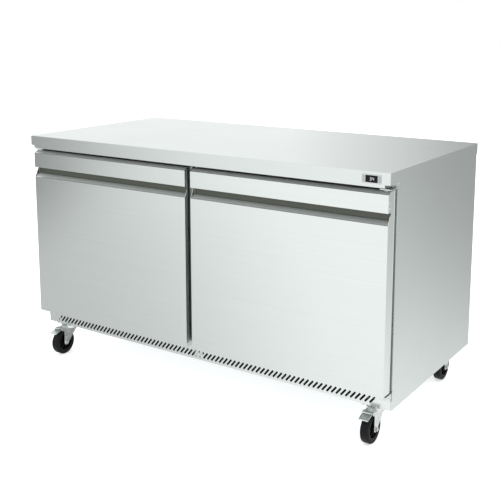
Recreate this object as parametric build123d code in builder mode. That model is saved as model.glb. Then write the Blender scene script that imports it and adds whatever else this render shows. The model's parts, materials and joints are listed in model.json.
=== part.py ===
"""Two-door undercounter refrigerator on swivel casters.

X runs along the front, +Y points to the back and +Z is up.  The origin is on the floor,
under the middle of the cabinet.  All sizes are in millimetres.
"""
import os
from math import cos, radians, sin

from build123d import *

os.makedirs("parts", exist_ok=True)

# ---------------------------------------------------------------- driving sizes: cabinet
width = 1533.0
depth = 762.0
height = 900.0
caster_space = 25.0
sheet = 1.2

worktop_sheet = 1.5
worktop_edge = 38.0
fascia_height = 48.0
fascia_notch_width = 18.0
fascia_return = 15.0
worktop_side_lap = 2.5
worktop_back_lap = 3.0
worktop_corner_radius = 3.0

side_flange = 20.0
back_flange = 15.0
duct_height = 40.0

door_width_gap = 24.0
door_end_inset = 8.0
door_setback = 8.0
door_thickness = 46.0
kick_height = 62.0
door_top_gap = 12.0

wall_insulation = 55.0
back_insulation = 48.0
floor_insulation = 48.0
liner_sheet = 1.5
opening_overlap = 28.0
mullion_half = 38.0
mullion_depth = 56.0

machine_depth = 186.0
machine_height = 295.0

# ---------------------------------------------------------------- driving sizes: doors
handle_sheet = 2.0
lip_height = 57.0
bevel_depth = 15.0
bevel_height = 9.0
recess_opening = 38.0
recess_depth = 23.0
recess_slope = 30.0
lip_hem = 8.0
end_plate_setback = 20.0
door_liner_sheet = 2.0
door_liner_rise = 10.0
door_liner_clearance = 12.0
gasket_width = 16.0
gasket_side_margin = 23.5
gasket_inner_margin = 4.0
gasket_end_margin = 6.0
gasket_gap = 0.3
gasket_thickness = 7.7

pivot_inset = 16.0
pivot_depth = 23.0
hinge_pin_radius = 4.0
hinge_pin_clearance = 0.05
bush_radius = 7.0
bush_flange_radius = 9.0
bush_flange = 1.5
bush_length = 13.0
bracket_plate = 3.0
bracket_gap = 1.5
bracket_width = 38.0
bracket_reach = 12.0
bracket_flange_height = 30.0

# ---------------------------------------------------------------- driving sizes: front grille
grille_end_inset = 6.5
grille_top_lap = 2.0
slot_pitch = 17.5
slot_first_inset = 63.5
slot_length = 23.0
slot_width = 7.2
slot_lean = 50.0
slot_centre_height = 21.0

# ---------------------------------------------------------------- driving sizes: casters
wheel_radius = 50.0
tread_width = 28.0
tread_round = 4.0
tyre_thickness = 14.0
caster_offset = 38.0
wheel_side_inset = 74.0
front_caster_setback = 98.0
rear_caster_inset = 53.0
caster_plate = 3.0
caster_plate_length = 90.0
caster_plate_width = 64.0
caster_bolt_x = 72.0
caster_bolt_y = 46.0
caster_bolt_radius = 4.0
upper_race_radius = 31.0
upper_race_height = 5.0
lower_race_radius = 33.0
race_gap = 0.5
fork_crown = 4.0
fork_sheet = 2.5
fork_inside = 34.0
fork_eye_radius = 11.0
kingpin_radius = 5.0
kingpin_head = 2.5
kingpin_head_radius = 8.0
axle_radius = 4.0
running_clearance = 0.05
hub_boss_radius = 10.0
hub_web = 8.0
hub_side_gap = 0.5
hub_rim = 4.0
pedal_width = 33.0
pedal_sheet = 2.5
pedal_tube_radius = 4.5
pedal_pin_radius = 2.5

# ---------------------------------------------------------------- driving sizes: controller
bezel_proud = 1.5
bezel_width = 64.0
bezel_height = 28.0
controller_inset = 61.5
controller_drop = 23.0
controller_body_width = 62.0
controller_body_height = 24.0
controller_body_depth = 42.0
window_width = 41.0
window_height = 22.0
window_depth = 2.0
key_width = 7.0
key_height = 18.0
key_travel = 0.8
key_stem = 3.0
key_clearance = 0.3

# ---------------------------------------------------------------- driving sizes: inside
shelf_level = 0.477
shelf_side_gap = 8.0
shelf_front_gap = 16.0
shelf_back_gap = 50.0
shelf_frame_radius = 3.0
shelf_wire_radius = 1.6
shelf_wire_pitch = 25.0
shelf_wire_bite = 0.6
shelf_cross_bars = 3
pilaster_width = 20.0
pilaster_thickness = 5.0
pilaster_bottom_gap = 30.0
pilaster_slot = 6.0
pilaster_slot_pitch = 25.0
clip_reach = 14.0
clip_height = 8.0

evaporator_width = 600.0
evaporator_share = 0.335
evaporator_depth = 92.0
evaporator_top_gap = 12.0
evaporator_coil_depth = 40.0
evaporator_coil_width = 480.0
evaporator_coil_gap = 6.0
evaporator_fan_radius = 62.0
condenser_width = 300.0
condenser_height = 220.0
condenser_depth = 44.0
condenser_centre_x = 330.0
condenser_fan_radius = 95.0
fan_ring_gap = 5.0
motor_radius = 22.0
motor_length = 36.0
fan_shaft_radius = 2.5
fan_hub_radius = 16.0
fan_blade_angle = 28.0
fan_blade_sheet = 2.0
fan_root_chord = 22.0
fan_tip_chord = 0.62
compressor_centre_x = 60.0
compressor_radius = 72.0
compressor_height = 150.0
compressor_foot = 190.0
foot_height = 16.0
drain_pan_width = 340.0
drain_pan_depth = 130.0
drain_pan_height = 36.0
drain_pan_centre_x = -260.0
pipe_radius = 4.0
pipe_bend = 12.0
pipe_pass_radius = pipe_radius + 3.0
pipe_pass_x = (-294.0, -272.0)
drier_radius = 9.0
drier_length = 90.0
drier_start_x = -200.0

# ---------------------------------------------------------------- planes and limits
front = -depth / 2
back = depth / 2
fascia_front = front + bezel_proud
cabinet_bottom = 2 * wheel_radius + caster_space
door_front = fascia_front + door_setback
door_back = door_front + door_thickness
cabinet_front = door_back + gasket_gap + gasket_thickness
cabinet_back = back - worktop_back_lap
side_outer = width / 2 - worktop_side_lap
side_inner = side_outer - sheet
worktop_under = height - worktop_sheet
fascia_bottom = height - fascia_height
frame_back = cabinet_front + sheet

door_bottom = cabinet_bottom + kick_height
door_top = fascia_bottom - door_top_gap
door_outer = width / 2 - door_end_inset
door_inner = door_width_gap / 2
door_span = door_outer - door_inner
pivot_x = door_outer - pivot_inset
pivot_y = door_front + pivot_depth

opening_side = side_inner - liner_sheet - wall_insulation
opening_bottom = door_bottom + opening_overlap
opening_top = door_top - opening_overlap
opening_height = opening_top - opening_bottom
shelf_height = opening_bottom + shelf_level * opening_height
evaporator_height = evaporator_share * opening_height
machine_top = cabinet_bottom + machine_height
controller_height = height - controller_drop
floor_under = opening_bottom - liner_sheet - floor_insulation
panel_back = cabinet_back - sheet
machine_front = cabinet_back - machine_depth
liner_back = panel_back - sheet - back_insulation
liner_step_y = machine_front - sheet - back_insulation
liner_step_z = machine_top + sheet + back_insulation
base_top = cabinet_bottom + sheet
cover_top = opening_top - evaporator_top_gap
cover_bottom = cover_top - evaporator_height
cover_back = liner_back - liner_sheet
cover_front = cover_back - evaporator_depth
evaporator_mid = (cover_top + cover_bottom) / 2
coil_y = cover_back - evaporator_coil_gap - evaporator_coil_depth / 2

plate_bottom = cabinet_bottom - caster_plate
upper_race_bottom = plate_bottom - upper_race_height
crown_bottom = upper_race_bottom - race_gap - 8.0 - fork_crown
axle_height = wheel_radius
wheel_x = width / 2 - wheel_side_inset
front_swivel_y = fascia_front + front_caster_setback
rear_swivel_y = back - rear_caster_inset


def finish(part, label):
    """Names a finished piece and writes it as its own file."""
    part.label = label
    export_step(part, f"parts/{label}.step")


def block(x_span, y_span, z_span, mode=Mode.ADD):
    """Adds a straight block between two limits on each axis to the part being built."""
    centre = [(low + high) / 2 for low, high in (x_span, y_span, z_span)]
    size = [high - low for low, high in (x_span, y_span, z_span)]
    with Locations(Vector(*centre)):
        Box(*size, mode=mode)


def both_sides(low, high):
    """Gives one span of X on the right and its mirror image on the left."""
    return ((low, high), (-high, -low))


# ================================================================ cabinet shell
controller_x = width / 2 - controller_inset

with BuildPart() as worktop:
    with BuildSketch(Plane.XY.offset(height - worktop_edge)):
        with Locations((0, (fascia_front + back) / 2)):
            Rectangle(width, back - fascia_front)
            fillet(vertices(), radius=worktop_corner_radius)
    extrude(amount=worktop_edge)
    fillet(faces().sort_by(Axis.Z)[-1].edges(), radius=worktop_sheet)
    block(
        (-width / 2 + worktop_sheet, width / 2 - worktop_sheet),
        (fascia_front + worktop_sheet, back - worktop_sheet),
        (fascia_bottom, worktop_under),
        mode=Mode.SUBTRACT,
    )
    fascia_half = width / 2 - fascia_notch_width
    block(
        (-fascia_half, fascia_half),
        (fascia_front, fascia_front + worktop_sheet),
        (fascia_bottom, height - worktop_edge),
    )
    block(
        (-fascia_half, fascia_half),
        (fascia_front, fascia_front + fascia_return),
        (fascia_bottom, fascia_bottom + worktop_sheet),
    )
    block(
        (controller_x - controller_body_width / 2, controller_x + controller_body_width / 2),
        (fascia_front - 1, fascia_front + worktop_sheet + 1),
        (controller_height - controller_body_height / 2, controller_height + controller_body_height / 2),
        mode=Mode.SUBTRACT,
    )
finish(worktop.part, "worktop")

for side_name, outward in (("left", -1), ("right", 1)):
    with BuildPart() as side_panel:
        block(
            sorted((outward * side_inner, outward * side_outer)),
            (cabinet_front, cabinet_back),
            (cabinet_bottom, worktop_under),
        )
        block(
            sorted((outward * (side_outer - side_flange), outward * side_inner)),
            (cabinet_front, frame_back),
            (cabinet_bottom, worktop_under),
        )
        block(
            sorted((outward * (side_outer - back_flange), outward * side_inner)),
            (panel_back, cabinet_back),
            (cabinet_bottom, worktop_under),
        )
    finish(side_panel.part, f"side_panel_{side_name}")

with BuildPart() as back_panel:
    with BuildSketch(Plane.YZ.offset(-side_inner)):
        with BuildLine():
            Polyline(
                (panel_back, worktop_under),
                (panel_back, machine_top),
                (machine_front, machine_top),
                (machine_front, floor_under - sheet),
                (frame_back, floor_under - sheet),
                (frame_back, floor_under),
                (machine_front - sheet, floor_under),
                (machine_front - sheet, machine_top + sheet),
                (panel_back - sheet, machine_top + sheet),
                (panel_back - sheet, worktop_under),
                close=True,
            )
        make_face()
    extrude(amount=2 * side_inner)
with BuildPart() as pipe_passes:
    with BuildSketch(Plane.XY.offset(machine_top - 1)):
        with Locations(*((x, coil_y) for x in pipe_pass_x)):
            Circle(pipe_pass_radius)
    extrude(amount=cover_bottom + 3 - machine_top)
with BuildPart() as drilled_back_panel:
    add(back_panel.part)
    add(pipe_passes.part, mode=Mode.SUBTRACT)
finish(drilled_back_panel.part, "back_panel")

with BuildPart() as base_pan:
    block((-side_inner, side_inner), (frame_back, panel_back), (cabinet_bottom, base_top))
    block((-side_inner, side_inner), (frame_back, frame_back + sheet), (base_top, floor_under - sheet - 12))
    for x_span in both_sides(slot_pitch, side_inner - 60):
        block(
            x_span,
            (frame_back, frame_back + sheet),
            (base_top + 4, floor_under - sheet - 12),
            mode=Mode.SUBTRACT,
        )
    for swivel_x in (-wheel_x, wheel_x):
        for swivel_y in (front_swivel_y, rear_swivel_y):
            with Locations((swivel_x, swivel_y, cabinet_bottom)):
                with GridLocations(caster_bolt_x, caster_bolt_y, 2, 2):
                    Cylinder(caster_bolt_radius, 6 * sheet, mode=Mode.SUBTRACT)
finish(base_pan.part, "base_pan")

with BuildPart() as cabinet_insulation:
    with BuildSketch(Plane.YZ.offset(-side_inner)):
        with BuildLine():
            Polyline(
                (frame_back, worktop_under),
                (panel_back - sheet, worktop_under),
                (panel_back - sheet, machine_top + sheet),
                (machine_front - sheet, machine_top + sheet),
                (machine_front - sheet, floor_under),
                (frame_back, floor_under),
                close=True,
            )
        make_face()
    extrude(amount=2 * side_inner)
    with BuildSketch(Plane.YZ.offset(-opening_side - liner_sheet)):
        with BuildLine():
            Polyline(
                (frame_back, opening_top + liner_sheet),
                (liner_back, opening_top + liner_sheet),
                (liner_back, liner_step_z),
                (liner_step_y, liner_step_z),
                (liner_step_y, opening_bottom - liner_sheet),
                (frame_back, opening_bottom - liner_sheet),
                close=True,
            )
        make_face()
    extrude(amount=2 * (opening_side + liner_sheet), mode=Mode.SUBTRACT)
    add(pipe_passes.part, mode=Mode.SUBTRACT)
finish(cabinet_insulation.part, "cabinet_insulation")

with BuildPart() as inner_liner:
    with BuildSketch(Plane.YZ.offset(-opening_side - liner_sheet)):
        with BuildLine():
            Polyline(
                (frame_back, opening_top + liner_sheet),
                (liner_back, opening_top + liner_sheet),
                (liner_back, liner_step_z),
                (liner_step_y, liner_step_z),
                (liner_step_y, opening_bottom - liner_sheet),
                (frame_back, opening_bottom - liner_sheet),
                close=True,
            )
        make_face()
    extrude(amount=2 * (opening_side + liner_sheet))
    with BuildSketch(Plane.YZ.offset(-opening_side)):
        with BuildLine():
            Polyline(
                (frame_back, opening_top),
                (liner_back - liner_sheet, opening_top),
                (liner_back - liner_sheet, liner_step_z + liner_sheet),
                (liner_step_y - liner_sheet, liner_step_z + liner_sheet),
                (liner_step_y - liner_sheet, opening_bottom),
                (frame_back, opening_bottom),
                close=True,
            )
        make_face()
    extrude(amount=2 * opening_side, mode=Mode.SUBTRACT)
    add(pipe_passes.part, mode=Mode.SUBTRACT)
finish(inner_liner.part, "inner_liner")

with BuildPart() as front_frame:
    frame_half = side_outer - side_flange
    block((-frame_half, frame_half), (cabinet_front, frame_back), (floor_under - sheet, worktop_under))
    for x_span in both_sides(mullion_half, opening_side):
        block(
            x_span,
            (cabinet_front - 1, frame_back + 1),
            (opening_bottom, opening_top),
            mode=Mode.SUBTRACT,
        )
    block(
        (-mullion_half, mullion_half),
        (frame_back, frame_back + mullion_depth),
        (opening_bottom, opening_top),
    )
    block(
        (-mullion_half + sheet, mullion_half - sheet),
        (frame_back, frame_back + mullion_depth - sheet),
        (opening_bottom + sheet, opening_top - sheet),
        mode=Mode.SUBTRACT,
    )
finish(front_frame.part, "front_frame")

grille_half = width / 2 - grille_end_inset
slot_count = 1 + int((width - 2 * slot_first_inset) / slot_pitch)
grille_top = door_bottom + grille_top_lap
with BuildPart() as kick_grille:
    with BuildSketch(Plane.XZ.offset(-cabinet_front)):
        with Locations((0, (cabinet_bottom + grille_top) / 2)):
            Rectangle(2 * grille_half, grille_top - cabinet_bottom)
        slot_places = [
            (-width / 2 + slot_first_inset + slot_pitch * index, cabinet_bottom + slot_centre_height)
            for index in range(slot_count)
        ]
        with Locations(*slot_places):
            SlotCenterToCenter(slot_length, slot_width, rotation=slot_lean, mode=Mode.SUBTRACT)
    extrude(amount=sheet)
    block(
        (-grille_half, grille_half),
        (cabinet_front - sheet, cabinet_front),
        (cabinet_bottom, cabinet_bottom + sheet),
    )
finish(kick_grille.part, "kick_grille")

rear_grille_half = side_outer - back_flange
rear_grille_slots_x = 3
rear_grille_slots_z = 16
rear_slot_height = 6.0
rear_slot_pitch = 14.0
with BuildPart() as rear_grille:
    with BuildSketch(Plane.XZ.offset(-cabinet_back)):
        with Locations((0, (base_top + machine_top) / 2)):
            Rectangle(2 * rear_grille_half, machine_top - base_top)
            with GridLocations(440.0, rear_slot_pitch, rear_grille_slots_x, rear_grille_slots_z):
                SlotOverall(360.0, rear_slot_height, mode=Mode.SUBTRACT)
    extrude(amount=sheet)
finish(rear_grille.part, "rear_grille")


# ================================================================ doors
def recess_outline(wall):
    """Finger recess of a door in section, grown by a wall: depth behind the front, height."""
    floor_rise = (recess_depth + wall) * sin(radians(recess_slope)) / cos(radians(recess_slope))
    return [
        (0, recess_bottom - wall),
        (recess_depth + wall, recess_bottom - wall + floor_rise),
        (recess_depth + wall, door_top - handle_sheet + wall),
        (bevel_depth, door_top - handle_sheet + wall),
        (0, door_top - bevel_height - handle_sheet + wall),
    ]


lip_top = door_top - bevel_height
lip_bottom = lip_top - lip_height
recess_bottom = lip_bottom - recess_opening
door_sheet_back = door_thickness - door_liner_sheet


def section(points):
    """Turns depths behind the door's front into the row's own Y."""
    return [(door_front + deep, up) for deep, up in points]


def build_door(name, outward):
    """One door: skin, handle, insulation, inner panel, gasket and hinge bushes."""
    low, high = sorted((outward * door_outer, outward * door_inner))
    pivot = outward * pivot_x
    side_outline = section(
        [
            (0, door_bottom),
            (0, recess_bottom),
            (end_plate_setback, lip_bottom),
            (end_plate_setback, door_top - handle_sheet),
            (door_sheet_back, door_top - handle_sheet),
            (door_sheet_back, door_bottom),
        ]
    )
    with BuildPart() as skin:
        with BuildSketch(Plane.YZ.offset(low)):
            with BuildLine():
                Polyline(*side_outline, close=True)
            make_face()
        extrude(amount=high - low)
        block(
            (low + sheet, high - sheet),
            (door_front + sheet, door_back),
            (door_bottom + sheet, door_top + 1),
            mode=Mode.SUBTRACT,
        )
        block(
            (low + sheet, high - sheet),
            (door_front - 1, door_back),
            (recess_bottom - handle_sheet, door_top + 1),
            mode=Mode.SUBTRACT,
        )
        with Locations((pivot, pivot_y, door_bottom)):
            Cylinder(bush_radius, 4 * sheet, mode=Mode.SUBTRACT)
    finish(skin.part, f"{name}_door_skin")

    lip_outline = section(
        [
            (0, lip_bottom),
            (0, lip_top),
            (bevel_depth, door_top),
            (door_sheet_back, door_top),
            (door_sheet_back, door_top - handle_sheet),
            (bevel_depth, door_top - handle_sheet),
            (handle_sheet, lip_top - handle_sheet / 2),
            (handle_sheet, lip_bottom + lip_hem),
            (2 * handle_sheet, lip_bottom + lip_hem),
            (2 * handle_sheet, lip_bottom),
        ]
    )
    floor_rise = recess_depth * sin(radians(recess_slope)) / cos(radians(recess_slope))
    channel_outline = section(
        [
            (0, recess_bottom),
            (recess_depth, recess_bottom + floor_rise),
            (recess_depth, door_top - handle_sheet),
            (recess_depth + handle_sheet, door_top - handle_sheet),
            (recess_depth + handle_sheet, recess_bottom + floor_rise - handle_sheet),
            (0, recess_bottom - handle_sheet),
        ]
    )
    cap_outline = section(
        [
            (0, lip_bottom),
            (0, lip_top),
            (bevel_depth, door_top),
            (end_plate_setback, door_top),
            (end_plate_setback, lip_bottom),
        ]
    )
    with BuildPart() as handle:
        with BuildSketch(Plane.YZ.offset(low)):
            with BuildLine():
                Polyline(*lip_outline, close=True)
            make_face()
        extrude(amount=high - low)
        with BuildSketch(Plane.YZ.offset(low + sheet)):
            with BuildLine():
                Polyline(*channel_outline, close=True)
            make_face()
        extrude(amount=high - low - 2 * sheet)
        for end in (low, high - sheet):
            with BuildSketch(Plane.YZ.offset(end)):
                with BuildLine():
                    Polyline(*cap_outline, close=True)
                make_face()
            extrude(amount=sheet)
        with Locations((pivot, pivot_y, door_top)):
            Cylinder(bush_radius, 2 * bush_length, mode=Mode.SUBTRACT)
    finish(handle.part, f"{name}_door_handle")

    with BuildPart() as foam:
        block(
            (low + sheet, high - sheet),
            (door_front + sheet, door_front + door_sheet_back),
            (door_bottom + sheet, door_top - handle_sheet),
        )
        with BuildSketch(Plane.YZ.offset(low + sheet)):
            with BuildLine():
                Polyline(
                    *section(
                        [
                            (0, recess_bottom - handle_sheet),
                            (recess_depth + handle_sheet, recess_bottom + floor_rise - handle_sheet),
                            (recess_depth + handle_sheet, door_top),
                            (0, door_top),
                        ]
                    ),
                    close=True,
                )
            make_face()
        extrude(amount=high - low - 2 * sheet, mode=Mode.SUBTRACT)
        for end in (door_bottom, door_top):
            with Locations((pivot, pivot_y, end)):
                Cylinder(bush_radius, 2 * (bush_length + 2), mode=Mode.SUBTRACT)
    finish(foam.part, f"{name}_door_insulation")

    gasket_low, gasket_high = sorted(
        (outward * (door_outer - gasket_side_margin), outward * (door_inner + gasket_inner_margin))
    )
    gasket_bottom = door_bottom + gasket_end_margin
    gasket_top = door_top - gasket_end_margin
    opening_low, opening_high = sorted((outward * opening_side, outward * mullion_half))
    with BuildPart() as liner:
        block(
            (low, high),
            (door_front + door_sheet_back, door_back),
            (door_bottom, door_top),
        )
        rise_low = opening_low + door_liner_clearance
        rise_high = opening_high - door_liner_clearance
        with BuildSketch(Plane.XZ.offset(-door_back)):
            with Locations(((rise_low + rise_high) / 2, (opening_bottom + opening_top) / 2)):
                Rectangle(rise_high - rise_low, opening_top - opening_bottom - 2 * door_liner_clearance)
                fillet(vertices(), radius=12.0)
        extrude(amount=-door_liner_rise, taper=20)
    finish(liner.part, f"{name}_door_liner")

    with BuildPart() as gasket:
        for margin, start, thick in (
            (0.0, door_back, 3.0),
            (2.0, door_back + 3.0, gasket_thickness - 3.0),
        ):
            with BuildSketch(Plane.XZ.offset(-start)):
                with Locations(((gasket_low + gasket_high) / 2, (gasket_bottom + gasket_top) / 2)):
                    span_x = gasket_high - gasket_low
                    span_z = gasket_top - gasket_bottom
                    Rectangle(span_x - 2 * margin, span_z - 2 * margin)
                    inner_margin = 2 * (gasket_width - margin)
                    Rectangle(span_x - inner_margin, span_z - inner_margin, mode=Mode.SUBTRACT)
            extrude(amount=-thick)
    finish(gasket.part, f"{name}_door_gasket")

    with BuildPart() as bushes:
        for start, way in ((door_top, 1), (door_bottom, -1)):
            with Locations((pivot, pivot_y, start + way * bush_flange / 2)):
                Cylinder(bush_flange_radius, bush_flange)
            with Locations((pivot, pivot_y, start - way * bush_length / 2)):
                Cylinder(bush_radius, bush_length)
            with Locations((pivot, pivot_y, start)):
                Cylinder(
                    hinge_pin_radius + hinge_pin_clearance,
                    2 * (bush_length + 1),
                    mode=Mode.SUBTRACT,
                )
    finish(bushes.part, f"{name}_hinge_bushes")


build_door("left", -1)
build_door("right", 1)

pin_depth = bush_length - 2.0
bracket_front = pivot_y - bracket_reach
bracket_half = bracket_width / 2
top_plate_low = door_top + bush_flange + bracket_gap
bottom_plate_high = door_bottom - bush_flange - bracket_gap
with BuildPart() as hinge_brackets:
    for outward in (-1, 1):
        x_span = (outward * pivot_x - bracket_half, outward * pivot_x + bracket_half)
        pivot = outward * pivot_x
        block(x_span, (bracket_front, cabinet_front), (top_plate_low, top_plate_low + bracket_plate))
        block(
            x_span,
            (cabinet_front - bracket_plate, cabinet_front),
            (top_plate_low, top_plate_low + bracket_flange_height),
        )
        pin_low = door_top - pin_depth
        with Locations((pivot, pivot_y, (pin_low + top_plate_low + bracket_plate) / 2)):
            Cylinder(hinge_pin_radius, top_plate_low + bracket_plate - pin_low)
        grille_face = cabinet_front - sheet
        block(x_span, (bracket_front, grille_face), (bottom_plate_high - bracket_plate, bottom_plate_high))
        block(
            x_span,
            (grille_face - bracket_plate, grille_face),
            (bottom_plate_high - bracket_flange_height, bottom_plate_high),
        )
        pin_high = door_bottom + pin_depth
        with Locations((pivot, pivot_y, (pin_high + bottom_plate_high - bracket_plate) / 2)):
            Cylinder(hinge_pin_radius, pin_high - bottom_plate_high + bracket_plate)
finish(hinge_brackets.part, "hinge_brackets")

screw_head_radius = 4.0
screw_head = 2.2
with BuildPart() as cabinet_screws:
    bottom_screw_z = bottom_plate_high - bracket_flange_height + 8
    top_screw_z = top_plate_low + bracket_flange_height - 8
    screw_places = []
    for outward in (-1, 1):
        for shift in (-11.0, 11.0):
            screw_places.append((outward * pivot_x + shift, top_screw_z, cabinet_front - bracket_plate, 1))
            screw_places.append((outward * pivot_x + shift, bottom_screw_z, grille_face - bracket_plate, 1))
        for level in (base_top + 20, machine_top - 20):
            screw_places.append((outward * (rear_grille_half - 12), level, cabinet_back, -1))
    for screw_x, screw_z, face_y, way in screw_places:
        with BuildSketch(Plane.XZ.offset(-face_y)):
            with Locations((screw_x, screw_z)):
                Circle(screw_head_radius)
        extrude(amount=way * screw_head)
finish(cabinet_screws.part, "cabinet_screws")

# ================================================================ controller
controller_back = fascia_front + controller_body_depth
with BuildPart() as controller_housing:
    with BuildSketch(Plane.XZ.offset(-fascia_front)):
        with Locations((controller_x, controller_height)):
            Rectangle(bezel_width, bezel_height)
            fillet(vertices(), radius=2.0)
    extrude(amount=bezel_proud)
    block(
        (controller_x - controller_body_width / 2, controller_x + controller_body_width / 2),
        (fascia_front, controller_back),
        (controller_height - controller_body_height / 2, controller_height + controller_body_height / 2),
    )
    block(
        (controller_x - window_width / 2, controller_x + window_width / 2),
        (front - 1, front + window_depth),
        (controller_height - window_height / 2, controller_height + window_height / 2),
        mode=Mode.SUBTRACT,
    )
    key_x = (window_width + bezel_width) / 4
    key_pocket = key_width + 2 * key_clearance
    pocket_height = key_height + 2 * key_clearance
    for way in (-1, 1):
        block(
            (controller_x + way * key_x - key_pocket / 2, controller_x + way * key_x + key_pocket / 2),
            (front - 1, front + key_stem + key_travel + key_clearance),
            (controller_height - pocket_height / 2, controller_height + pocket_height / 2),
            mode=Mode.SUBTRACT,
        )
finish(controller_housing.part, "controller_housing")

with BuildPart() as display_window:
    block(
        (controller_x - window_width / 2, controller_x + window_width / 2),
        (front + 0.3, front + window_depth),
        (controller_height - window_height / 2, controller_height + window_height / 2),
    )
finish(display_window.part, "display_window")

for key_name, way in (("left", -1), ("right", 1)):
    with BuildPart() as key:
        block(
            (controller_x + way * key_x - key_width / 2, controller_x + way * key_x + key_width / 2),
            (front, front + key_stem),
            (controller_height - key_height / 2, controller_height + key_height / 2),
        )
        fillet(edges().filter_by(Axis.Y), radius=1.0)
    finish(key.part, f"{key_name}_key")

# ================================================================ inside of the cabinet
shelf_front = frame_back + mullion_depth + shelf_front_gap
shelf_back = liner_back - liner_sheet - shelf_back_gap
shelf_low = mullion_half + shelf_side_gap - 20.0
shelf_high = opening_side - shelf_side_gap
wire_count = int((shelf_high - shelf_low) // shelf_wire_pitch)
for side_name, outward in (("left", -1), ("right", 1)):
    low, high = sorted((outward * shelf_low, outward * shelf_high))
    middle = (low + high) / 2
    with BuildPart() as shelf:
        wire_z = shelf_height + shelf_frame_radius + shelf_wire_radius - shelf_wire_bite
        with BuildSketch(Plane.XZ.offset(-shelf_front)):
            with Locations((middle, wire_z)):
                with GridLocations(shelf_wire_pitch, 1, wire_count, 1):
                    Circle(shelf_wire_radius)
        extrude(amount=-(shelf_back - shelf_front))
        bar_step = (shelf_back - shelf_front) / (shelf_cross_bars - 1)
        with BuildSketch(Plane.YZ.offset(low)):
            with Locations((shelf_front, shelf_height)):
                with Locations(*((bar_step * index, 0) for index in range(shelf_cross_bars))):
                    Circle(shelf_frame_radius)
        extrude(amount=high - low)
        for end in (low, high):
            with BuildSketch(Plane.XZ.offset(-shelf_front)):
                with Locations((end, shelf_height)):
                    Circle(shelf_frame_radius)
            extrude(amount=-(shelf_back - shelf_front))
    finish(shelf.part, f"shelf_{side_name}")

pilaster_low = opening_bottom + pilaster_bottom_gap
pilaster_high = opening_top - evaporator_height - evaporator_top_gap - 20.0
slot_rows = int((pilaster_high - liner_step_z - 60.0) // pilaster_slot_pitch)
with BuildPart() as shelf_supports:
    rest_z = shelf_height - shelf_frame_radius
    for outward in (-1, 1):
        for pilaster_y in (shelf_front + 40.0, shelf_back - 60.0):
            x_span = sorted((outward * (opening_side - pilaster_thickness), outward * opening_side))
            bottom = pilaster_low if pilaster_y < liner_step_y - 40.0 else liner_step_z + 20.0
            y_span = (pilaster_y - pilaster_width / 2, pilaster_y + pilaster_width / 2)
            block(x_span, y_span, (bottom, pilaster_high))
            for row in range(slot_rows):
                level = liner_step_z + 40.0 + row * pilaster_slot_pitch
                block(
                    x_span,
                    (pilaster_y - pilaster_slot / 2, pilaster_y + pilaster_slot / 2),
                    (level, level + pilaster_slot),
                    mode=Mode.SUBTRACT,
                )
            clip_span = sorted(
                (outward * (opening_side - clip_reach), outward * (opening_side - pilaster_thickness))
            )
            block(clip_span, y_span, (rest_z - clip_height, rest_z))
    for rail_y, rail_depth in (
        (frame_back + mullion_depth, shelf_front_gap + 14.0),
        (liner_back - liner_sheet, -(shelf_back_gap + 14.0)),
    ):
        y_span = sorted((rail_y, rail_y + rail_depth))
        block((-30.0, 30.0), y_span, (rest_z - clip_height, rest_z))
finish(shelf_supports.part, "shelf_supports")

with BuildPart() as evaporator_cover:
    block(
        (-evaporator_width / 2, evaporator_width / 2),
        (cover_front, cover_back),
        (cover_bottom, cover_top),
    )
    block(
        (-evaporator_width / 2 + sheet, evaporator_width / 2 - sheet),
        (cover_front + sheet, cover_back + 1),
        (cover_bottom + sheet, cover_top - sheet),
        mode=Mode.SUBTRACT,
    )
    with BuildSketch(Plane.XZ.offset(-cover_front)):
        with Locations((0, evaporator_mid)):
            Circle(evaporator_fan_radius + fan_ring_gap)
            for guard_radius in (20.0, 34.0, 48.0, 62.0):
                Circle(guard_radius + 1.2, mode=Mode.SUBTRACT)
                Circle(guard_radius - 1.2)
            Rectangle(2 * evaporator_fan_radius + 20.0, 2.4, mode=Mode.SUBTRACT)
            Rectangle(2.4, 2 * evaporator_fan_radius + 20.0, mode=Mode.SUBTRACT)
    extrude(amount=-sheet, mode=Mode.SUBTRACT)
    with BuildSketch(Plane.XY.offset(cover_bottom)):
        with Locations((0, cover_back - 40.0)):
            with GridLocations(14.0, 1, 34, 1):
                SlotOverall(50.0, 6.0, rotation=90)
    extrude(amount=sheet, mode=Mode.SUBTRACT)
    add(pipe_passes.part, mode=Mode.SUBTRACT)
finish(evaporator_cover.part, "evaporator_cover")


def finned_coil(x_mid, y_mid, z_mid, size_x, size_y, size_z, rows):
    """Heat exchanger: fin block between end plates, with return bends on both ends."""
    with BuildPart() as coil:
        block(
            (x_mid - size_x / 2, x_mid + size_x / 2),
            (y_mid - size_y / 2, y_mid + size_y / 2),
            (z_mid - size_z / 2, z_mid + size_z / 2),
        )
        for end in (-1, 1):
            block(
                sorted((x_mid + end * size_x / 2, x_mid + end * (size_x / 2 + sheet))),
                (y_mid - size_y / 2 - 3, y_mid + size_y / 2 + 3),
                (z_mid - size_z / 2 - 3, z_mid + size_z / 2 + 3),
            )
            pitch = size_z / rows
            for row in range(rows):
                level = z_mid - size_z / 2 + pitch * (row + 0.5)
                with Locations((x_mid + end * (size_x / 2 + sheet), y_mid, level)):
                    Torus(pitch / 3, pipe_radius, rotation=(90, 0, 0))
        fin_pitch = 12.0
        fins = int(size_x // fin_pitch) - 1
        with BuildSketch(Plane.XZ.offset(-(y_mid + size_y / 2))):
            with Locations((x_mid, z_mid)):
                with GridLocations(fin_pitch, 1, fins, 1):
                    Rectangle(fin_pitch - 3.0, size_z - 8.0)
        extrude(amount=4.0, mode=Mode.SUBTRACT)
    return coil.part


evaporator_coil = finned_coil(
    0,
    coil_y,
    evaporator_mid,
    evaporator_coil_width,
    evaporator_coil_depth,
    evaporator_height - 40.0,
    6,
)
finish(evaporator_coil, "evaporator_coil")

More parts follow.
